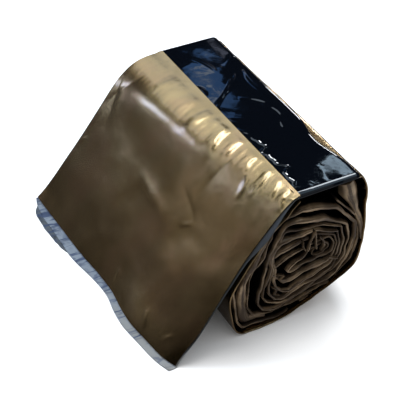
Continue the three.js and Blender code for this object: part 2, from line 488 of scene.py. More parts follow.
def filmBetween(name, outer, inner, finish):
    # one closed piece of film between two grids of points
    rows, columns = outer.shape[:2]
    points = np.concatenate([outer.reshape(-1, 3), inner.reshape(-1, 3)]) * mm
    at = np.arange(rows * columns).reshape(rows, columns)
    under = at + rows * columns
    quads = [
        (at[:-1, :-1], at[:-1, 1:], at[1:, 1:], at[1:, :-1]),
        (under[:-1, :-1], under[1:, :-1], under[1:, 1:], under[:-1, 1:]),
        (at[:-1, 0], at[1:, 0], under[1:, 0], under[:-1, 0]),
        (at[1:, -1], at[:-1, -1], under[:-1, -1], under[1:, -1]),
        (at[0, 1:], at[0, :-1], under[0, :-1], under[0, 1:]),
        (at[-1, :-1], at[-1, 1:], under[-1, 1:], under[-1, :-1]),
    ]
    faces = np.concatenate([asPoints(*corners).reshape(-1, 4) for corners in quads])
    mesh = bpy.data.meshes.new(name)
    mesh.from_pydata(points.tolist(), [], faces.tolist())
    mesh.shade_smooth()
    mesh.set_sharp_from_angle(angle=math.radians(60))
    mesh.materials.append(finish)
    piece = bpy.data.objects.new(name, mesh)
    scene.collection.objects.link(piece)
    return piece


# Loose end: the front and back panels

panelRows = {
    "nearY": [7.7, 4.8, 0.4, -6.6, -14.3, -21.9, -29.6, -36.9, -40.9, -43.9, -46.4],
    "nearZ": [65.0, 63.3, 59.6, 51.8, 41.9, 32.2, 22.4, 13.0, 7.9, 4.1, 1.0],
    "farY": [7.7, 0.2, -8.6, -17.4, -28.2, -37.3, -45.4, -51.9, -54.6, -56.6, -58.2],
    "farZ": [65.0, 63.8, 60.4, 51.8, 38.4, 27.0, 16.9, 8.9, 5.5, 3.0, 1.0],
    "nearX": [60.0, 60.0, 60.1, 60.2, 59.9, 60.8, 61.8, 62.6, 62.3, 62.3, 62.6],
    "farX": [-60.0, -60.1, -60.3, -60.6, -60.6, -60.9, -61.3, -61.9, -62.6, -63.4, -64.2],
}
mouthRows = {
    "x": [-64, -58, -48, -38, -28, -16, 0, 12, 22, 32, 44, 56, 65],
    "out": [-0.4, 0.0, 0.3, 0.6, 0.9, 1.1, 0.8, 1.2, 2.9, 3.9, 3.4, 2.4, -0.2],
    "lip": [0.8, 2.4, 3.6, 3.7, 4.1, 4.4, 3.2, 2.6, 2.9, 3.1, 3.0, 3.0, 3.0],
}
sideRows = {
    "down": [0, 0.12, 0.2, 0.27, 0.32, 0.36, 0.41, 0.6, 0.8, 1],
    "aside": [0.2, 0.5, 1.3, 2.4, 2.6, 1.8, 0.8, 0.4, 0.5, 0.6],
}

# Gathers by the seam, folds and creases: three places along each, as x and the share of the way down,
# then its width, height and lean
foldRows = [
    # gathers by the seam
    ((-40, -0.02), (-41, 0.06), (-44.5, 0.13), 2.8, -0.18, 0),
    ((-34, 0.04), (-35.5, 0.12), (-38, 0.19), 2.8, 0.22, -0.3),
    ((-22, -0.02), (-22.5, 0.06), (-24.5, 0.12), 2.8, -0.12, 0),
    ((-16.5, 0.01), (-17, 0.09), (-18.5, 0.2), 3, 0.28, -0.3),
    ((-8.7, -0.02), (-9.5, 0.06), (-11, 0.14), 2.3, -0.14, 0),
    ((-3.4, 0.02), (-5, 0.12), (-6, 0.235), 2.4, 0.36, -0.4),
    ((0.6, -0.03), (1.2, 0.05), (2.4, 0.14), 1.8, 0.24, -0.4),
    ((7.2, 0.02), (8.6, 0.13), (14.2, 0.25), 2.7, 0.44, -0.4),
    ((18.4, 0), (18.2, 0.1), (18.6, 0.2), 2.3, 0.34, -0.4),
    ((25.5, 0.02), (25, 0.12), (26, 0.24), 2, 0.2, -0.3),
    ((34, -0.08), (30, 0.09), (33.6, 0.205), 3, 0.42, -0.4),
    ((40.4, 0.01), (41, 0.09), (44.2, 0.19), 2, 0.34, -0.4),
    ((44.6, 0.01), (44.8, 0.09), (46.4, 0.17), 1.2, 0.18, -0.3),
    ((48, 0), (49, 0.1), (52.8, 0.21), 2, 0.31, -0.4),
    ((56, 0.04), (55.4, 0.12), (59.6, 0.21), 1.9, 0.42, -0.4),
    ((55.4, 0.12), (58, 0.1), (60.5, 0.04), 1.3, 0.28, 0),
    # what runs on below the fold
    ((34.4, 0.17), (37.6, 0.225), (38.2, 0.29), 1.3, 0.22, -0.2),
    ((42.5, 0.17), (43.2, 0.21), (43, 0.25), 1.1, 0.1, -0.2),
    ((-68, 0.1), (-60, 0.125), (-44, 0.15), 5.5, 0.45, 0),
    # slack and creases lower down
    ((-54, 0.31), (-26, 0.365), (6, 0.42), 6.5, -0.3, 0),
    ((-16, 0.42), (-3.4, 0.449), (15, 0.487), 2.8, 0.21, 0.2),
    ((9.9, 0.365), (19.4, 0.392), (27.5, 0.435), 1.3, -0.13, 0.3),
    ((21.4, 0.468), (24.4, 0.447), (28, 0.426), 0.9, 0.11, 0),
    ((28, 0.5), (46, 0.52), (66, 0.5), 10, 0.42, 0),
    ((10.1, 0.9), (8.9, 0.82), (8.9, 0.76), 1, 0.16, 0),
    ((40.2, 0.94), (37.3, 0.85), (34.4, 0.78), 1.1, 0.2, 0),
    ((51.1, 0.89), (52.3, 0.83), (54.8, 0.79), 0.9, 0.14, 0),
    ((-60.6, 0.478), (-58.6, 0.467), (-56, 0.455), 0.8, 0.14, 0),
]

# Turns in the film: three places along each, then its spread, rise and roundness
turnRows = [
    ((-81, 0.25), (-66, 0.256), (-55, 0.285), 6, 0.8, 3),
    ((-56, 0.293), (-24, 0.231), (22, 0.247), 7.5, 1.15, 6),
]
tornStrip = {
    "fromX": -59.0,
    "toX": -20.0,
    "columns": 120,
    "rows": 8,
    "x": [-59, -55, -50, -42, -34, -27, -22, -20],
    "reach": [1.6, 4.6, 5.7, 6.2, 6.1, 5.6, 4.8, 4.0],
    "tucked": 8.5,
    "thickness": 0.25,
    "lift": 0.35,
    "wander": 0.25,
    "wanderSize": 3.0,
}
looseEnd = {
    "rows": 170,
    "columns": 210,
    "thickness": 0.35,
    "backBelow": 0.6,  # the back panel's face lies this far below the front one's
    "seamLift": 0.15,
    "seamOver": 0.7,
    "seamDown": 0.05,
    "outFrom": 0.45,  # share of the way down from which the mouth's waves show
    "flatBy": {"far": 0.15, "near": 0.05, "x": (-8, 14)},  # the relief fades in over this much of the way
    "waveSize": 26.0,
    "waveHeight": 0.4,
    "wavesFrom": (0.0, 0.12),
    "wavesLess": {"down": (0.4, 0.7), "share": 0.6},
    "calmSpot": {"x": 34.0, "down": 0.32, "width": 22.0, "fall": 18.0, "share": 0.75},
    "gatherSize": 2.7,
    "gatherHeight": 0.13,
    "gatherDrawn": 0.16,
    "fineGather": 0.5,
    "gatheredTo": {"down": (0.1, 0.27), "x": (-30, 0), "far": 0.5},
    "rippleSize": 9.0,
    "rippleHeight": 0.09,
    "asideFrom": 0.93,
    "lipRows": 14,
    "lipWave": 0.35,
    "lipWaveSize": 5.0,
    "lipLift": 0.6,
}


def atDown(column, down):
    places = np.linspace(0, 1, len(panelRows[column]))
    return curveThrough(places, panelRows[column], down)


def evenDowns(count):
    # shares of the way down that lie evenly along the film
    down = np.linspace(0, 1, 2001)
    middle = [(atDown("near" + axis, down) + atDown("far" + axis, down)) / 2 for axis in "YZ"]
    length = lengthAlong(asPoints(*middle))
    return np.interp(np.linspace(0, length[-1], count), length, down), length[-1]


def lengthDown(down):
    table, total = evenDowns(401)
    return np.interp(down, table, np.linspace(0, total, 401))


def panelPoints(along, down, past=0.0, aside=0.0):
    x, y, z = (blend(atDown("far" + axis, down), atDown("near" + axis, down), along) for axis in "XYZ")
    out = curveThrough(mouthRows["x"], mouthRows["out"], x)
    lip = curveThrough(mouthRows["x"], mouthRows["lip"], x)
    y = y - smoothStep(down, looseEnd["outFrom"], 1) * out - past * lip
    return asPoints(x + aside, y, z)


def panelWaves(place, down):
    # broad waves, calmer by the seam, in one spot and low down
    spot = looseEnd["calmSpot"]
    x, fall, _ = np.moveaxis(place, -1, 0)
    away = ((x - spot["x"]) / spot["width"]) ** 2 + ((fall - lengthDown(spot["down"])) / spot["fall"]) ** 2
    calm = smoothStep(down, *looseEnd["wavesFrom"]) * (1 - spot["share"] * np.exp(-away))
    less = looseEnd["wavesLess"]
    calm = calm * (1 - less["share"] * smoothStep(down, *less["down"]))
    return looseEnd["waveHeight"] * calm * cloudHeight(place, looseEnd["waveSize"], 11)


def panelGathers(place, down):
    # fine gathers that run down from the seam
    drawn = place * np.array([1, looseEnd["gatherDrawn"], 1])
    size = looseEnd["gatherSize"]
    gathers = cloudHeight(drawn, size, 13) + looseEnd["fineGather"] * cloudHeight(drawn, size / 2.3, 14)
    reach = looseEnd["gatheredTo"]
    nearer = blend(reach["far"], 1, smoothStep(place[..., 0], *reach["x"]))
    gathered = (1 - smoothStep(down, *reach["down"])) * nearer
    return looseEnd["gatherHeight"] * gathered * gathers


def panelRelief(x, down):
    # how far the film stands off its plain shape
    fall = lengthDown(down)
    place = asPoints(x, fall, 0)
    height = panelWaves(place, down)
    height = height + looseEnd["rippleHeight"] * cloudHeight(place, looseEnd["rippleSize"], 12)
    height = height + panelGathers(place, down)
    for shape, rows in ((ridgeHeight, foldRows), (turnHeight, turnRows)):
        for row in rows:
            line = [(across, float(lengthDown(share))) for across, share in row[:3]]
            height = height + shape(x, fall, line, *row[3:])
    flat = looseEnd["flatBy"]
    return height * smoothStep(down, 0.0, blend(flat["far"], flat["near"], smoothStep(x, *flat["x"])))


def frontFace(along, down, past=0.0, aside=0.0):
    plain = panelPoints(along, down, past, aside)
    return raised(plain, panelRelief(plain[..., 0], down))


def frontPanel():
    downs, _ = evenDowns(looseEnd["rows"])
    down, along = np.meshgrid(downs, np.linspace(1, 0, looseEnd["columns"]), indexing="ij")
    top = 1 - smoothStep(down, 0.0, looseEnd["seamDown"])
    seam = np.array([0, looseEnd["seamOver"], looseEnd["seamLift"]])
    outer = frontFace(along, down) + top[..., None] * seam
    return filmBetween("front_film_panel", outer, sunk(outer, looseEnd["thickness"]), finishes["bronze"])


def backPanel():
    downs, _ = evenDowns(looseEnd["rows"] - looseEnd["lipRows"])
    lipSteps = np.linspace(0, 1, looseEnd["lipRows"] + 1)[1:]
    pasts = np.concatenate([np.zeros(len(downs)), lipSteps])
    downs = np.concatenate([downs, np.ones(len(lipSteps))])
    alongs = np.linspace(1, 0, looseEnd["columns"])
    down, along = np.meshgrid(downs, alongs, indexing="ij")
    past, _ = np.meshgrid(pasts, alongs, indexing="ij")
    aside = curveThrough(sideRows["down"], sideRows["aside"], down)
    aside = aside * smoothStep(along, looseEnd["asideFrom"], 1.0)
    face = frontFace(along, down, past, aside)
    wave = cloudHeight(face * np.array([1, 1, 0]), looseEnd["lipWaveSize"], 21) + looseEnd["lipLift"]
    outer = sunk(face, looseEnd["backBelow"] - looseEnd["lipWave"] * past * wave)
    inner = sunk(outer, looseEnd["thickness"])
    outer[..., 2] = np.maximum(outer[..., 2], looseEnd["thickness"])
    inner[..., 2] = np.maximum(inner[..., 2], 0)
    return filmBetween("back_film_panel", outer, inner, finishes["silver"])


def underLayer():
    # the torn strip of film that shows past the back panel's lip at its far end
    row = tornStrip
    x = np.linspace(row["fromX"], row["toX"], row["columns"])
    share, x = np.meshgrid(np.linspace(0, 1, row["rows"]), x, indexing="ij")
    along = (x - atDown("farX", 1)) / (atDown("nearX", 1) - atDown("farX", 1))
    edge = panelPoints(along, np.ones_like(x))
    lip = curveThrough(mouthRows["x"], mouthRows["lip"], x)
    reach = np.maximum(curveThrough(row["x"], row["reach"], x), lip - row["tucked"] + 0.1)
    wander = cloudHeight(asPoints(x, 0, 0), row["wanderSize"], 24)
    y = edge[..., 1] - blend(lip - row["tucked"], reach + row["wander"] * wander, share)
    z = row["thickness"] + row["lift"] * share**6
    outer = asPoints(x, y, z)[:, ::-1]
    return filmBetween("torn_film_strip", outer, outer * np.array([1, 1, 0]), finishes["under"])


front = frontPanel()
back = backPanel()
strip = underLayer()
print("loose end made")

# Black band

borderRows = {
    "past": [0, 0.8, 1.6, 2.4, 3.2, 3.8],
    "out": [0, 0.78, 1.5, 2.1, 2.6, 2.75],
    "fall": [0, 0.1, 0.38, 0.8, 1.3, 1.9],
}

# Folds in the band: three places along each, as x and y, then its width and height
bandFolds = [
    ((-28, 29.5), (-17.5, 20), (-9, 7.5), 0.6, 0.17),
    ((-26, 26), (-15.5, 17), (-6.5, 8.5), 0.5, 0.12),
    ((-52, 15), (-43, 20.5), (-33, 22), 0.8, 0.07),
    ((-44, 36), (-40, 33), (-36, 27), 1.3, 0.2),
    ((-10, 20.5), (-4, 28), (5, 31.5), 1.2, 0.2),
    ((-1, 27), (8, 31), (18, 26), 1.3, 0.21),
    ((8, 32.5), (15, 27.5), (24, 27), 1.1, 0.17),
    ((-30, 35), (-17, 32.5), (-4, 35), 1.3, 0.2),
    ((2, 7), (6, 11), (7.5, 15), 1.5, 0.14),
    ((11, 7), (14.5, 11.5), (19, 10.5), 1.5, 0.13),
    ((-27, 6), (-21.5, 9), (-16, 6.5), 1.4, 0.12),
]
bandPiece = {
    "flatNear": 57.1,
    "flatFar": 59.9,
    "frontY": 7.0,
    "frontFlat": 1.5,
    "backY": 36.6,
    "backDip": {"x": (12, 31, 52), "depth": 2.9},
    "edgeRoll": {"width": 1.6, "drop": 0.55},
    "top": 64.9,
    "sunk": 0.25,
    "thickness": 0.45,
    "columns": 330,
    "rows": 100,
    "warpSize": 16,
    "warp": 3,
    "waveSize": 22.0,
    "waveHeight": 0.09,
    "foldSize": 11.0,
    "foldHeight": 0.1,
    "seamCrease": {"y": 11.2, "width": 0.5, "height": 0.22, "from": (16, 22), "to": (53, 56)},
    "creaseBends": [(1.3, 2.9, 0), (0.9, 1.3, 1), (0.5, 0.8, 0)],  # height, length and phase
    "cornerSag": {"x": (44, 58), "y": (20, 34), "depth": 0.25},
}


def backEdge(x):
    start, lowest, end = bandPiece["backDip"]["x"]
    dip = smoothStep(x, start, lowest) * (1 - smoothStep(x, lowest, end))
    return bandPiece["backY"] - bandPiece["backDip"]["depth"] * dip


def bandRelief(x, y):
    place = asPoints(x, y, 0)
    warp = cloudHeight(place, bandPiece["warpSize"], 31) * bandPiece["warp"]
    height = bandPiece["waveHeight"] * cloudHeight(place, bandPiece["waveSize"], 32)
    folded = foldedHeight(x + warp, y + warp, bandPiece["foldSize"], 33) - 0.5
    height = height + bandPiece["foldHeight"] * folded
    for row in bandFolds:
        height = height + ridgeHeight(x + warp * 0.2, y, row[:3], *row[3:])
    crease = bandPiece["seamCrease"]
    line = crease["y"]
    for bend, length, phase in bandPiece["creaseBends"]:
        line = line + bend * np.sin(x / length + phase)
    span = smoothStep(x, *crease["from"]) * (1 - smoothStep(x, *crease["to"]))
    height = height + crease["height"] * span * np.exp(-(((y - line) / crease["width"]) ** 2))
    sag = bandPiece["cornerSag"]
    height = height - sag["depth"] * smoothStep(x, *sag["x"]) * smoothStep(y, *sag["y"])
    height = height * smoothStep(y, bandPiece["frontY"], bandPiece["frontY"] + bandPiece["frontFlat"])
    edge = bandPiece["edgeRoll"]
    beyond = np.clip(1 - (backEdge(x) - y) / edge["width"], 0, 1)
    return height - edge["drop"] * beyond**2


def blackBand():
    past = borderRows["past"]
    far, near = -bandPiece["flatFar"], bandPiece["flatNear"]
    places = np.linspace(far - past[-1], near + past[-1], bandPiece["columns"])
    share, along = np.meshgrid(np.linspace(0, 1, bandPiece["rows"]), places, indexing="ij")
    y = blend(bandPiece["frontY"], backEdge(along), share)
    flat = np.clip(along, far, near)
    beyond = np.abs(along - flat)
    x = flat + np.sign(along) * curveThrough(past, borderRows["out"], beyond)
    z = bandPiece["top"] - curveThrough(past, borderRows["fall"], beyond)
    plain = asPoints(x, y, z)
    outer = raised(plain, bandRelief(x, y) - bandPiece["sunk"])
    return filmBetween("black_band_film", outer, sunk(outer, bandPiece["thickness"]), finishes["black"])


band = blackBand()
print("band made")

# Roll: the wound film and its outer wrap

# The outermost turn by its angle round the core: its radius at three places along the roll, and its depth
windingRows = {
    "degrees": [
        113, 120, 128, 140, 155, 168, 180, 193, 207, 222, 240,
        262, 288, 316, 342, 368, 395, 413, 424, 450, 473,
    ],
    "near": [
        30.4, 29.4, 28.2, 28.8, 30.4, 32.6, 36, 42.4, 46, 49.2, 38.9,
        28.8, 24.6, 24.8, 21.6, 21.2, 24.6, 32.2, 34.2, 31.4, 32.4,
    ],
    "middle": [
        30.4, 29.8, 29.1, 30, 31.6, 33.9, 37.2, 42.9, 46.2, 49.6, 40.6,
        35.4, 31.6, 27.4, 22.2, 21.2, 24.6, 32, 34.2, 31.4, 32.4,
    ],
    "far": [
        30.4, 31.6, 33, 35.2, 37.4, 40.2, 42.8, 45.2, 47.2, 49.8, 40.6,
        35.6, 32.2, 27.8, 22.6, 21.4, 24.6, 31.8, 34.2, 31.4, 32.4,
    ],
    "ply": [
        3.4, 3.2, 3, 2.6, 4.2, 6.4, 7.6, 9, 9.4, 8.4, 4.6,
        2.4, 2.2, 2.2, 2.2, 2.2, 2.2, 2.2, 2.2, 1.8, 1.2,
    ],
}

# The wound film's end: one ring of places for each turn, the innermost first.
# A place is its y, its z and half its depth
coilRings = [
    [
        (19, 31.8, 0.4), (18, 30.9, 0.4), (17.7, 30, 0.4), (18, 29.3, 0.4),
        (18.8, 28.9, 0.4), (19.6, 28.8, 0.4), (20.4, 28.8, 0.4), (21.2, 28.9, 0.4),
        (21.9, 29.2, 0.4), (22.5, 29.7, 0.4), (22.9, 30.3, 0.4), (23, 31, 0.4),
        (22.8, 31.7, 0.4), (22.2, 32.2, 0.4), (21.3, 32.4, 0.4), (20.1, 32.3, 0.4),
    ],
    [
        (13.5, 30.3, 0.7), (9, 29.8, 0.8), (5.8, 28.6, 0.8), (4.8, 27.2, 0.7),
        (6, 26, 0.5), (8, 26.3, 0.5), (10.5, 26.9, 0.5), (13, 27.1, 0.5),
        (15.5, 27.2, 0.5), (18, 27.2, 0.5), (20.5, 27.4, 0.5), (23.5, 27.8, 0.5),
        (25, 29.8, 0.5), (25, 32.5, 0.5), (23, 34.3, 0.5), (17.5, 33, 0.6),
    ],
    [
        (9, 34, 0.9), (3.5, 32.4, 1), (-0.5, 30.4, 0.9), (-2.2, 27.6, 0.8),
        (0.5, 25, 0.8), (2.2, 23, 0.8), (4, 21.2, 0.8), (7, 20.6, 0.9),
        (10.5, 21.4, 1.2), (14.5, 22.3, 1.3), (19, 22.8, 1.3), (24, 23.9, 1),
        (26.8, 28.6, 0.5), (27, 33, 0.5), (25, 36.3, 0.5), (18, 35.6, 0.6),
    ],
    [
        (9, 38.9, 1.1), (2, 38.2, 1.2), (-2, 36.4, 1), (-1.5, 32.5, 0.7),
        (0, 28.8, 0.6), (-0.7, 24, 0.6), (0.4, 19.8, 0.6), (3.2, 16.6, 0.8),
        (7, 15.2, 0.9), (12.5, 17, 1.1), (19, 19.4, 1), (26, 21.8, 0.8),
        (28.3, 27.5, 0.6), (28.6, 33, 0.5), (27, 37, 0.5), (19, 39.2, 0.7),
    ],
    [
        (9.5, 42.8, 1.4), (1, 43, 1.3), (-1.2, 40.6, 0.8), (-3, 35, 0.7),
        (-1.6, 29.5, 0.6), (-2.9, 23, 0.6), (-3.1, 17.8, 0.6), (0, 13.4, 0.6),
        (4.5, 12.4, 0.8), (11, 14.2, 1), (19, 17.2, 0.8), (27, 19.8, 0.7),
        (30, 26, 0.6), (30.3, 32, 0.5), (28.3, 38.4, 0.5), (18.5, 42.6, 0.8),
    ],
    [
        (10, 46.6, 0.65), (3, 47.4, 0.6), (0.8, 43, 0.7), (-2.2, 36.8, 0.8),
        (-2.4, 29, 0.6), (-5.1, 21.5, 0.5), (-5.7, 16, 0.5), (-3, 11.6, 0.5),
        (2, 9.9, 0.6), (10, 11.8, 0.7), (19, 14.9, 0.7), (28, 17.9, 0.6),
        (31.7, 24.5, 0.6), (32.2, 32.5, 0.6), (30, 40.3, 0.6), (20.5, 44.6, 0.6),
    ],
    [
        (10, 50.6, 1.3), (4.5, 50.8, 0.9), (0, 45.5, 0.6), (-3.2, 38.5, 0.7),
        (-4.2, 30, 0.6), (-7, 21.5, 0.55), (-8.3, 14.5, 0.55), (-5.5, 10, 0.5),
        (0.5, 7.6, 0.6), (9, 9.4, 0.7), (19, 12.6, 0.7), (29, 16, 0.6),
        (33.4, 23, 0.6), (34.4, 32, 0.65), (33.3, 39.8, 0.7), (22, 46.8, 1.4),
    ],
    [
        (10, 55.2, 1.2), (3, 54.2, 1.1), (-1.5, 49.5, 0.5), (-6, 38, 0.45),
        (-10.4, 32, 0.45), (-12.6, 25, 0.4), (-13.4, 15.5, 0.35), (-10.6, 9.6, 0.5),
        (-1.2, 6.2, 0.5), (8.5, 7, 0.4), (19, 10.4, 0.4), (29.7, 13.9, 0.4),
        (35.4, 21, 0.5), (37.3, 31, 0.7), (36.8, 40.3, 0.75), (27, 51.4, 1.2),
    ],
    [
        (10, 60.2, 0.4), (4, 58.6, 0.4), (-1, 52.5, 0.4), (-6.5, 38, 0.4),
        (-9.8, 32, 0.4), (-11.6, 25, 0.4), (-12.4, 14, 0.4), (-10.2, 8.8, 0.4),
        (-1.4, 5, 0.5), (8.5, 5.8, 0.4), (19, 9.3, 0.4), (30.1, 13, 0.4),
        (36.1, 21, 0.4), (38.5, 31, 0.4), (38.4, 41.4, 0.45), (26.5, 55.3, 0.45),
    ],
]

# Loose folds in the end, as the rings' places, with how far each reaches into the roll
looseFolds = [
    {"inset": 0.2, "reach": 24, "places": [
        (14.2, 34.2, 0.3), (15.7, 38.5, 0.35), (17.6, 43, 0.5), (18.4, 38, 0.4), (18.7, 33.5, 0.3),
    ]},
    {"inset": 0.5, "reach": 12, "places": [(12.4, 39, 0.25), (12.6, 36.5, 0.3), (13.6, 34, 0.25)]},
    {"inset": 0.8, "reach": 14, "places": [
        (20.4, 38.6, 0.3), (22.4, 35.6, 0.35), (23, 33, 0.4), (21, 31, 0.3),
    ]},
    {"inset": 0.3, "reach": 10, "places": [
        (0.5, 26.6, 0.3), (4.2, 24.6, 0.45), (1.4, 23.4, 0.35), (5.2, 22.2, 0.4),
    ]},
    {"inset": 0.4, "reach": 10, "places": [
        (-1.4, 20.5, 0.3), (1.2, 18, 0.4), (-0.6, 16, 0.35), (2.4, 14.4, 0.3),
    ]},
    {"inset": 0.4, "reach": 16, "places": [(25.4, 26.2, 0.3), (27.6, 24.4, 0.7), (29.6, 24, 0.3)]},
    {"inset": 0.6, "reach": 30, "places": [
        (31.6, 61.6, 3.4), (33.4, 56.5, 3.3), (35.2, 51, 2.6), (37, 46, 1.9), (38.8, 41.5, 1.5),
        (40, 36.5, 0.8), (40.3, 30, 0.4),
    ]},
]

# Film standing further in, which closes the spaces between the rings and under the band; it stands so far
# in that the finish paints it near-black all over, as painted shade
innerFilm = {
    "inset": 14.0,
    "overlap": 0.45,
    "least": 0.3,
    "stepLength": 2.6,
    "underBand": [
        (-1, 57.6, 0.9), (6, 60.6, 1.3), (13, 60.4, 2.1),
        (21, 59.6, 3), (29, 57, 3.2), (33.6, 51, 2.6),
    ],
}

# Loose turns round the wound film: the turns they run between, and the shares of the depth that they fill
strandRows = [
    {"fromTurn": 4.02, "toTurn": 4.98, "top": 0.24, "under": 0.38},
    {"fromTurn": 4.04, "toTurn": 4.33, "top": 0.44, "under": 1.02},
]
roll = {
    "halfLength": 60.0,
    "coreY": 20.7,
    "coreZ": 34.0,
    "startDegrees": 113,
    "middleX": 38,
    "underBand": 63.6,
    "underBandFrom": 4.5,  # turn
    "backUnderBand": {"inset": 1.4, "turns": (4.8, 4.86)},
    "stepLength": 1.0,
    "skin": 0.9,
    "swell": 0.5,
    "swellSize": 9,
    "turnSwells": 9,  # how often a loose turn's depth changes in one turn
    "strandSwells": 7,
    "crumple": 0.2,
    "crumpleSize": 4.2,
    "crossing": (11, 13),  # places of a ring between which a turn moves out to the next ring
    "seenFrom": (0.7, -0.8),  # the rings' places are read 1 mm out from the film's ends
    "capReach": (0.5, 0.9),
    "endInset": {"mean": 1.5, "wander": 1.1, "wanderSize": 14, "least": 0.2},
    "coreInset": {"more": 1.5, "size": 7, "place": (0, 21.0, 31.0)},
}


def turnEdges(turn):
    # the outermost turn's angle, its radius at the near end, part way and at the far end, and its depth
    degrees = roll["startDegrees"] + 360 * np.where(turn < 5, turn % 1, 1)
    names = ("near", "middle", "far", "ply")
    *edges, depth = (curveThrough(windingRows["degrees"], windingRows[name], degrees) for name in names)
    return np.radians(roll["startDegrees"] + 360 * turn), edges, depth


def followLine(turn, lines, half, stepLength=roll["stepLength"]):
    # a strand's guide: even steps along its lines at the near end, part way and at the far end
    length = lengthAlong(lines[0])
    count = int(length[-1] / stepLength) + 1
    even = np.interp(np.linspace(0, length[-1], count), length, turn)
    near, middle, far = (
        asPoints(*(np.interp(even, turn, column) for column in line.T)) for line in lines
    )
    tangent = np.gradient(near, axis=0)
    kernel = np.hanning(7)[1:-1]
    kernel /= kernel.sum()
    for axis in (1, 2):
        padded = np.pad(tangent[:, axis], 2, mode="edge")
        tangent[:, axis] = np.convolve(padded, kernel, mode="valid")
    outward = asPoints(0, tangent[:, 2], -tangent[:, 1])
    depth = np.interp(even, turn, half)
    return {
        "turn": even,
        "near": near,
        "middle": middle,
        "far": far,
        "outward": outward / np.linalg.norm(outward, axis=-1, keepdims=True),
        "half": depth,
        "cap": roll["capReach"][0] + depth * roll["capReach"][1],
        "wound": np.linspace(0, length[-1], count),
        "length": length[-1],
    }


def turnGuide(fromTurn, toTurn, top, under=None, thickness=None):
    # a strand of the outermost, loose turn: as deep as the share under says, or as thick as given
    turn = np.linspace(fromTurn, toTurn, 3001)
    angle, edges, depth = turnEdges(turn)
    topDepth = top * depth
    underDepth = topDepth + thickness if thickness else under * depth
    half = (underDepth - topDepth) / 2
    if not thickness:
        course = asPoints(turn * roll["turnSwells"], top * roll["strandSwells"], 0)
        half = half * (1 + roll["swell"] * cloudHeight(course, 1.0, 61))
    ceiling = np.where(turn > roll["underBandFrom"], roll["underBand"], bandPiece["top"]) - topDepth - half
    lines = []
    for radius in edges:
        reach = radius - (topDepth + underDepth) / 2
        z = np.clip(roll["coreZ"] + reach * np.sin(angle), topDepth + half, ceiling)
        lines.append(asPoints(0, roll["coreY"] + reach * np.cos(angle), z))
    return followLine(turn, lines, half)


def placesGuide(places, seed, stepLength=roll["stepLength"]):
    # a strand through places given one by one, crumpled a little between them
    turn = np.linspace(0, len(places) - 1, 12 * len(places))
    y, z, half = (np.interp(turn, np.arange(len(places)), column) for column in np.array(places).T)
    course = asPoints(lengthAlong(asPoints(y, z)), seed, 0)
    y = y + roll["crumple"] * cloudHeight(course, roll["crumpleSize"], seed)
    z = z + roll["crumple"] * cloudHeight(course, roll["crumpleSize"], seed + 1)
    half = half * (1 + roll["swell"] * cloudHeight(course, roll["swellSize"], seed + 2))
    return followLine(turn, [asPoints(0, y, z)] * 3, half, stepLength)


def placeBetween(start, end, share):
    y, z = (blend(a, b, share) for a, b in zip(start[:2], end))
    return y + roll["seenFrom"][0], z + roll["seenFrom"][1]


def ringPlaces():
    # one line through all the rings, each turn moving out to the next ring at the lower right
    first, last = roll["crossing"]
    places = []
    for inner, outer in zip(coilRings, coilRings[1:]):
        for step, (start, end) in enumerate(zip(inner, outer)):
            share = min(max(step - first, 0) / (last - first), 1)
            places.append((*placeBetween(start, end, share), blend(start[2], end[2], share)))
    return places


def betweenRings(inner, outer):
    # the line half way between two rings, as thick as the space there
    places = []
    for start, end in zip(inner + inner[:1], outer + outer[:1]):
        space = math.hypot(end[0] - start[0], end[1] - start[1])
        half = max(space - start[2] - end[2], innerFilm["least"]) / 2 + innerFilm["overlap"]
        places.append((*placeBetween(start, end, (space + start[2] - end[2]) / 2 / space), half))
    return places


def endInset(guide, seed):
    # how far a strand's end stands back from the roll's end, more so at the core
    inset = roll["endInset"]
    core = roll["coreInset"]
    wander = cloudHeight(asPoints(guide["wound"], seed, 0), inset["wanderSize"], seed)
    away = np.linalg.norm(guide["near"] - np.array(core["place"]), axis=1) / core["size"]
    depth = inset["mean"] + inset["wander"] * wander + core["more"] * np.exp(-(away**2))
    return np.maximum(depth, inset["least"])


def guideMesh(name, guides):
    # all guides as one mesh of open lines, with what the node tree reads stored on their points
    starts = np.cumsum([0] + [len(guide["turn"]) for guide in guides])
    points = np.concatenate([guide["near"] for guide in guides]) * mm
    edges = [(step, step + 1) for start, end in zip(starts, starts[1:]) for step in range(start, end - 1)]
    mesh = bpy.data.meshes.new(name)
    mesh.from_pydata(points.tolist(), edges, [])
    fields = ("near", "middle", "far", "outward", "half", "cap", "wound", "nearEnd", "farEnd", "strand")
    for field in fields:
        scale = 1 if field in ("outward", "strand") else mm
        values = np.concatenate([guide[field] for guide in guides]) * scale
        kind, part = ("FLOAT_VECTOR", "vector") if values.ndim == 2 else ("FLOAT", "value")
        mesh.attributes.new(field, kind, "POINT").data.foreach_set(part, values.astype(np.float32).ravel())
    return mesh


coilSizes = {
    "Section Points": 54,
    "Cap Angle": 0.9,
    "Ruffle": 0.0026,
    "Ruffle Size": 0.007,
    "Wrinkle": 0.00035,
    "Wrinkle Size": 0.007,
    "Dent": 0.0012,
    "Dent Size": 0.02,
    "Ceiling": 0.0646,
    "Middle": roll["middleX"] * mm,
    "End": roll["halfLength"] * mm,
    "Seed": 4.0,
    "Film": finishes["wound"],
}
wrapSizes = {
    **coilSizes,
    "Section Points": 220,
    "Cap Angle": 0.12,
    "Ruffle": 0.0012,
    "Ruffle Size": 0.012,
    "Wrinkle": 0.00045,
    "Wrinkle Size": 0.018,
    "Dent": 0.0012,
    "Dent Size": 0.04,
    "Film": finishes["bronze"],
}


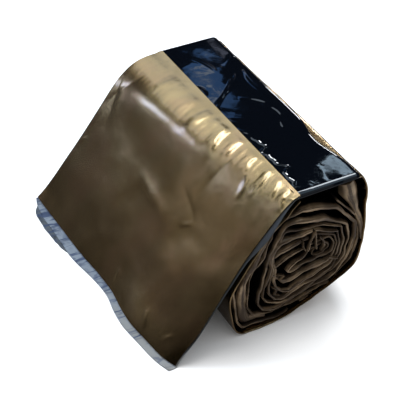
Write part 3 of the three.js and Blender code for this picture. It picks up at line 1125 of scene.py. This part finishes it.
sweep = {
    "seenDepth": 0.0045,  # film this far behind the roll's ends counts as further in, and is painted near-black as painted shade
    "strandApart": 0.31,  # how far the strands lie from each other in the noise
    "ruffleAcross": 0.0012,
    "ruffledFrom": (0.7, 1.0),  # share of the way to the ends
    "drawn": 0.6,
    "twist": 0.6,
    "creaseSlope": -3,
    "creaseRise": 0.25,
    "lowest": 0.00002,
}


def woundTree():
    # sweeps a rounded section along the guides and ruffles it
    tree = bpy.data.node_groups.new("wound_film", "GeometryNodeTree")
    kinds = {"Guides": "Geometry", "Section Points": "Int", "Film": "Material"}
    for name in ("Guides", *coilSizes):
        kind = "NodeSocket" + kinds.get(name, "Float")
        tree.interface.new_socket(name, in_out="INPUT", socket_type=kind)
    tree.interface.new_socket("Film", in_out="OUTPUT", socket_type="NodeSocketGeometry")
    bench = Bench(tree)
    given = bench.node("NodeGroupInput")
    size = given.beside

    def stored(name, kind="FLOAT"):
        return bench.node("GeometryNodeInputNamedAttribute", {"Name": name}, data_type=kind)

    def withStored(geometry, name, value):
        sockets = {"Geometry": geometry, "Name": name, "Value": value}
        return bench.node("GeometryNodeStoreNamedAttribute", sockets, data_type="FLOAT")

    # the section, with each point's angle round it
    points = size("Section Points")
    circle = bench.node("GeometryNodeMeshCircle", {"Vertices": points, "Radius": 0.001})
    turnOf = bench.node("GeometryNodeInputIndex") / points * (2 * math.pi)
    section = bench.node("GeometryNodeMeshToCurve", {"Mesh": withStored(circle, "around", turnOf)})
    line = bench.node("GeometryNodeMeshToCurve", {"Mesh": given})
    sockets = {"Curve": line, "Profile Curve": section, "Fill Caps": True}
    swept = bench.node("GeometryNodeCurveToMesh", sockets)

    # the section's own shape: flat sides along the roll, a round cap at each end
    around = stored("around")
    cosine = around.math("COSINE")
    capAngle = size("Cap Angle")
    across = (around.math("SINE") / capAngle.math("SINE")).inside(-1, 1)
    body = 1 - (cosine.math("ARCCOSINE") - capAngle) * 2 / (math.pi - capAngle * 2)
    body = body.inside(-1, 1)
    capReach = stored("cap")
    bulge = (1 - across * across).math("MAXIMUM", 0).math("SQRT") * capReach * cosine.math("SIGN")
    farEnd = stored("farEnd") + capReach
    nearEnd = stored("nearEnd") - capReach
    x = farEnd + (nearEnd - farEnd) * (body * 0.5 + 0.5) + bulge

    # how far a place is behind its strand's rounded end, for the finish: film further in is painted
    # near-black all over, as painted shade
    behind = (nearEnd - x).math("MINIMUM", x - farEnd)
    behind = behind.math("MAXIMUM", size("End") - x.math("ABSOLUTE") - sweep["seenDepth"])
    swept = withStored(swept, "behind", behind)

    # ruffles: the ends wander in and out, the film puckers and is dented
    wound = stored("wound")
    strand = stored("strand") * sweep["strandApart"] + size("Seed")
    endMask = bench.step(body.math("ABSOLUTE"), *sweep["ruffledFrom"])
    onEnd = bench.combine(wound, across * sweep["ruffleAcross"], strand)
    ruffle = bench.cloud(onEnd, size("Ruffle Size"))
    x = x + (ruffle - 0.5) * size("Ruffle") * endMask
    onFilm = bench.combine(wound, x * sweep["drawn"], strand + 3)
    wrinkle = bench.cloud(onFilm, size("Wrinkle Size"), distortion=sweep["twist"])
    crease = (wrinkle - 0.5).math("ABSOLUTE") * sweep["creaseSlope"] + sweep["creaseRise"]
    dent = bench.cloud(onFilm, size("Dent Size"), 1.0)
    away = crease * size("Wrinkle") + (dent - 0.5) * size("Dent")

    # the strand's line at this place along the roll
    names = ("near", "middle", "far", "outward")
    near, middle, far, outward = (stored(name, "FLOAT_VECTOR") for name in names)
    towardsFar = bench.node("ShaderNodeMapRange", {0: x, 1: size("End") * -1, 2: size("Middle")})
    towardsNear = bench.step(x, size("Middle"), size("End"))
    centre = bench.blendVector(towardsNear, bench.blendVector(towardsFar, far, middle), near)
    spread = stored("half") * across + away
    aside = bench.node("ShaderNodeVectorMath", {0: outward, 3: spread}, operation="SCALE")
    place = bench.node("ShaderNodeVectorMath", {0: centre, 1: aside}, operation="ADD")
    parts = bench.node("ShaderNodeSeparateXYZ", {0: place})
    onFloor = parts.beside("Z").inside(sweep["lowest"], size("Ceiling"))
    place = bench.combine(x, parts.beside("Y"), onFloor)
    moved = bench.node("GeometryNodeSetPosition", {"Geometry": swept, "Position": place})
    smooth = bench.node("GeometryNodeSetShadeSmooth", {0: moved})
    whole = bench.node("GeometryNodeRealizeInstances", {0: smooth})
    film = bench.node("GeometryNodeSetMaterial", {"Geometry": whole, "Material": size("Film")})
    bench.node("NodeGroupOutput", {0: film})
    return tree


def woundPiece(name, guides, tree, sizes):
    # runs the tree on the guides, and keeps its result as a plain mesh
    piece = bpy.data.objects.new(name, guideMesh(name, guides))
    scene.collection.objects.link(piece)
    modifier = piece.modifiers.new("wound film", "NODES")
    modifier.node_group = tree
    for item in tree.interface.items_tree:
        if item.in_out == "INPUT" and item.name in sizes:
            modifier[item.identifier] = sizes[item.name]
    depsgraph = bpy.context.evaluated_depsgraph_get()
    mesh = bpy.data.meshes.new_from_object(piece.evaluated_get(depsgraph))
    piece.modifiers.clear()
    piece.data = mesh
    whole = bmesh.new()
    whole.from_mesh(mesh)
    bmesh.ops.recalc_face_normals(whole, faces=whole.faces)
    whole.to_mesh(mesh)
    whole.free()
    mesh.set_sharp_from_angle(angle=math.radians(70))
    return piece


def setEnds(guide, nearEnd, farEnd, strand):
    count = len(guide["turn"])
    guide["nearEnd"] = np.broadcast_to(nearEnd, count)
    guide["farEnd"] = np.broadcast_to(farEnd, count)
    guide["strand"] = np.full(count, float(strand))


def woundCoil(tree):
    # the wound film, its loose turns, its loose folds and the film further in
    end = roll["halfLength"]
    guides = [placesGuide(ringPlaces(), 61)] + [turnGuide(**row) for row in strandRows]
    for number, guide in enumerate(guides):
        setEnds(guide, end - endInset(guide, 41 + number), endInset(guide, 51 + number) - end, number)
    for number, row in enumerate(looseFolds):
        guide = placesGuide(row["places"], 70 + number)
        setEnds(guide, end - row["inset"], end - row["inset"] - row["reach"], len(guides))
        guides.append(guide)
    spaces = [betweenRings(inner, outer) for inner, outer in zip(coilRings, coilRings[1:])]
    for number, places in enumerate(spaces + [innerFilm["underBand"]]):
        guide = placesGuide(places, 90 + number, innerFilm["stepLength"])
        setEnds(guide, end - innerFilm["inset"], innerFilm["inset"] - end, 20 + number)
        guides.append(guide)
    return woundPiece("wound_film_coil", guides, tree, coilSizes), sum(guide["length"] for guide in guides)


def outerWrap(tree):
    guide = turnGuide(4, 5, 0, thickness=roll["skin"])
    back = roll["backUnderBand"]
    under = back["inset"] * smoothStep(guide["turn"], *back["turns"])
    setEnds(guide, roll["halfLength"] - under, under - roll["halfLength"], 9)
    return woundPiece("outer_film_wrap", [guide], tree, wrapSizes), guide["length"]


filmTree = woundTree()
coil, coilLength = woundCoil(filmTree)
wrap, wrapLength = outerWrap(filmTree)
print("roll made")

# Floor, world and lights

studio = {
    "floorHalf": 4.0,
    "floorShade": 0.86,
    "floorMirrored": 0.27,  # its shade as the film mirrors it
    "sky": {"seen": 0.95, "lights": 0.75},
    "sun": {"towards": (-0.15, 0.3, 0.94), "strength": 1.7, "spread": 20},
}
coolWhite = (0.73, 0.87, 1.0)
warmWhite = (1.0, 0.98, 0.96)

# What the film mirrors: each card's place, size, colour and radiance, then where it faces and how its
# first side lies. Without these two it faces straight down, and that side lies along X
cards = {
    "gold": ((-0.325, -0.045, 0.42), (0.35, 0.47), coolWhite, 1.68),
    "far gold": ((-0.625, 0.045, 0.42), (0.25, 0.29), coolWhite, 1.45),
    "near gold": (
        (-0.195, -0.296, 0.246), (0.055, 0.05), coolWhite, 0.9, (0.04, -0.005, 0.055), (0.8, -0.6, 0),
    ),
    "low gold": ((-0.324, -0.368, 0.42), (0.3, 0.165), coolWhite, 1.85, None, (0.6, -0.8, 0)),
    "gather": ((-0.28, -0.13, 0.68), (0.15, 0.34), (0.7, 0.83, 1), 10.5, (0.02, 0, 0.063)),
    "fold": ((-0.525, -0.49, 0.31), (0.1, 0.08), (0.42, 0.57, 1), 12, (-0.02, -0.012, 0.056)),
    "blue": ((-0.493, 0.263, 0.405), (0.068, 0.03), (0.17, 0.42, 1), 1.15, None, (0.98, -0.2, 0)),
    "slanted blue": (
        (-0.534, 0.273, 0.405), (0.042, 0.022), (0.18, 0.43, 1), 1.25, None, (0.875, 0.485, 0),
    ),
    "small blue": ((-0.452, 0.262, 0.405), (0.02, 0.02), (0.18, 0.43, 1), 1.1, None, (1, 0.3, 0)),
    "olive": ((-0.52, 0.27, 0.403), (0.013, 0.016), (0.9, 0.82, 0.5), 1.1, None, (1, 0.3, 0)),
    "low olive": ((-0.481, 0.2545, 0.403), (0.035, 0.009), (0.9, 0.85, 0.6), 1.3),
    "lilac": ((-0.564, 0.314, 0.405), (0.056, 0.009), (0.7, 0.76, 1), 0.95, None, (0.953, -0.303, 0)),
    "corner": ((-0.293, 0.297, 0.405), (0.048, 0.015), (0.62, 0.82, 1), 4.9, None, (1, 0.1, 0)),
    "border": ((0.15, 0.42, 0.76), (0.42, 0.2), (0.6, 0.8, 1), 1.3, (0.06, 0.02, 0.065)),
    "patch": ((-0.23, 0.455, 0.745), (0.3, 0.12), (0.85, 0.93, 1), 14, (0.05, 0.03, 0.065)),
    "crease": ((-0.45, 0.47, 0.27), (0.09, 0.07), (0.93, 0.96, 1), 30, (0.03, 0.011, 0.065)),
    "near": ((-0.19, -0.3, 0.13), (0.14, 0.1), warmWhite, 0.07, (0.04, -0.02, 0.04), (1, -0.6, 0)),
    "near edge": (
        (-0.077, -0.167, 0.098), (0.055, 0.04), warmWhite, 0.26, (0.039, -0.013, 0.043), (1, -0.6, 0),
    ),
    "front": ((-0.7, -1, 0.36), (1.1, 0.6), warmWhite, 0.04, (0, -0.03, 0.03), (1, -0.6, 0)),
    "side": ((0.75, 0.3, 0.75), (0.6, 0.6), (0.9, 0.95, 1), 0.3, (0.05, 0.02, 0.03), (0, 1, 0)),
}


def addFloor():
    half = studio["floorHalf"]
    corners = [(-half, -half, 0), (half, -half, 0), (half, half, 0), (-half, half, 0)]
    mesh = bpy.data.meshes.new("floor")
    mesh.from_pydata(corners, [], [(0, 1, 2, 3)])
    material, bench = newFinish("pale_floor")
    mirrored = bench.node("ShaderNodeLightPath").beside("Is Glossy Ray")
    shade = bench.blendColour(mirrored, *((studio[name],) * 3 for name in ("floorShade", "floorMirrored")))
    closeFinish(bench, {"Base Color": shade, "Roughness": 0.9, "Specular IOR Level": 0.1})
    mesh.materials.append(material)
    floor = bpy.data.objects.new("floor", mesh)
    scene.collection.objects.link(floor)


def addSky():
    world = bpy.data.worlds.new("studio")
    world.use_nodes = True
    world.node_tree.nodes.clear()
    scene.world = world
    bench = Bench(world.node_tree)
    seen = bench.node("ShaderNodeLightPath").beside("Is Camera Ray")
    strength = seen.between(studio["sky"]["lights"], studio["sky"]["seen"])
    light = bench.node("ShaderNodeBackground", {"Color": (1, 1, 1, 1), "Strength": strength})
    bench.node("ShaderNodeOutputWorld", {"Surface": light})
    world.cycles_visibility.glossy = False  # the film mirrors only the cards


def addSun():
    data = bpy.data.lights.new("overhead", "SUN")
    data.energy = studio["sun"]["strength"]
    data.angle = math.radians(studio["sun"]["spread"])
    sun = bpy.data.objects.new("overhead", data)
    sun.visible_glossy = False  # or it would show in the band as a white disc, seen from above
    sun.rotation_euler = mathutils.Vector(studio["sun"]["towards"]).to_track_quat("Z", "Y").to_euler()
    scene.collection.objects.link(sun)


def addCard(name, place, size, colour, radiance, aim=None, along=(1, 0, 0)):
    data = bpy.data.lights.new(name, "AREA")
    data.shape = "RECTANGLE"
    data.size, data.size_y = size
    data.color = colour
    data.energy = radiance * math.pi * size[0] * size[1]
    light = bpy.data.objects.new(name, data)
    away = (mathutils.Vector(place) - mathutils.Vector(aim or (*place[:2], 0))).normalized()
    across = mathutils.Vector(along)
    across = (across - away * across.dot(away)).normalized()
    turned = mathutils.Matrix((across, away.cross(across), away)).transposed()
    light.matrix_world = mathutils.Matrix.Translation(place) @ turned.to_4x4()
    scene.collection.objects.link(light)


addFloor()
addSky()
addSun()
for name, card in cards.items():
    addCard(name + " card", *card)
scene.view_settings.view_transform = "Standard"
print("studio lit")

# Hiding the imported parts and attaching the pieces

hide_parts("rolled_film")
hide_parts("rolled_film")
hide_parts("front_panel")
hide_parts("back_panel")
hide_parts("back_panel")
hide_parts("black_band")
for piece, slot in (
    (coil, "bronze_film"),
    (wrap, "bronze_film"),
    (front, "bronze_film"),
    (back, "silver_film"),
    (strip, "silver_film"),
    (band, "black_gloss_film"),
):
    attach(piece, "root")
coilLength * mm
wrapLength * mm
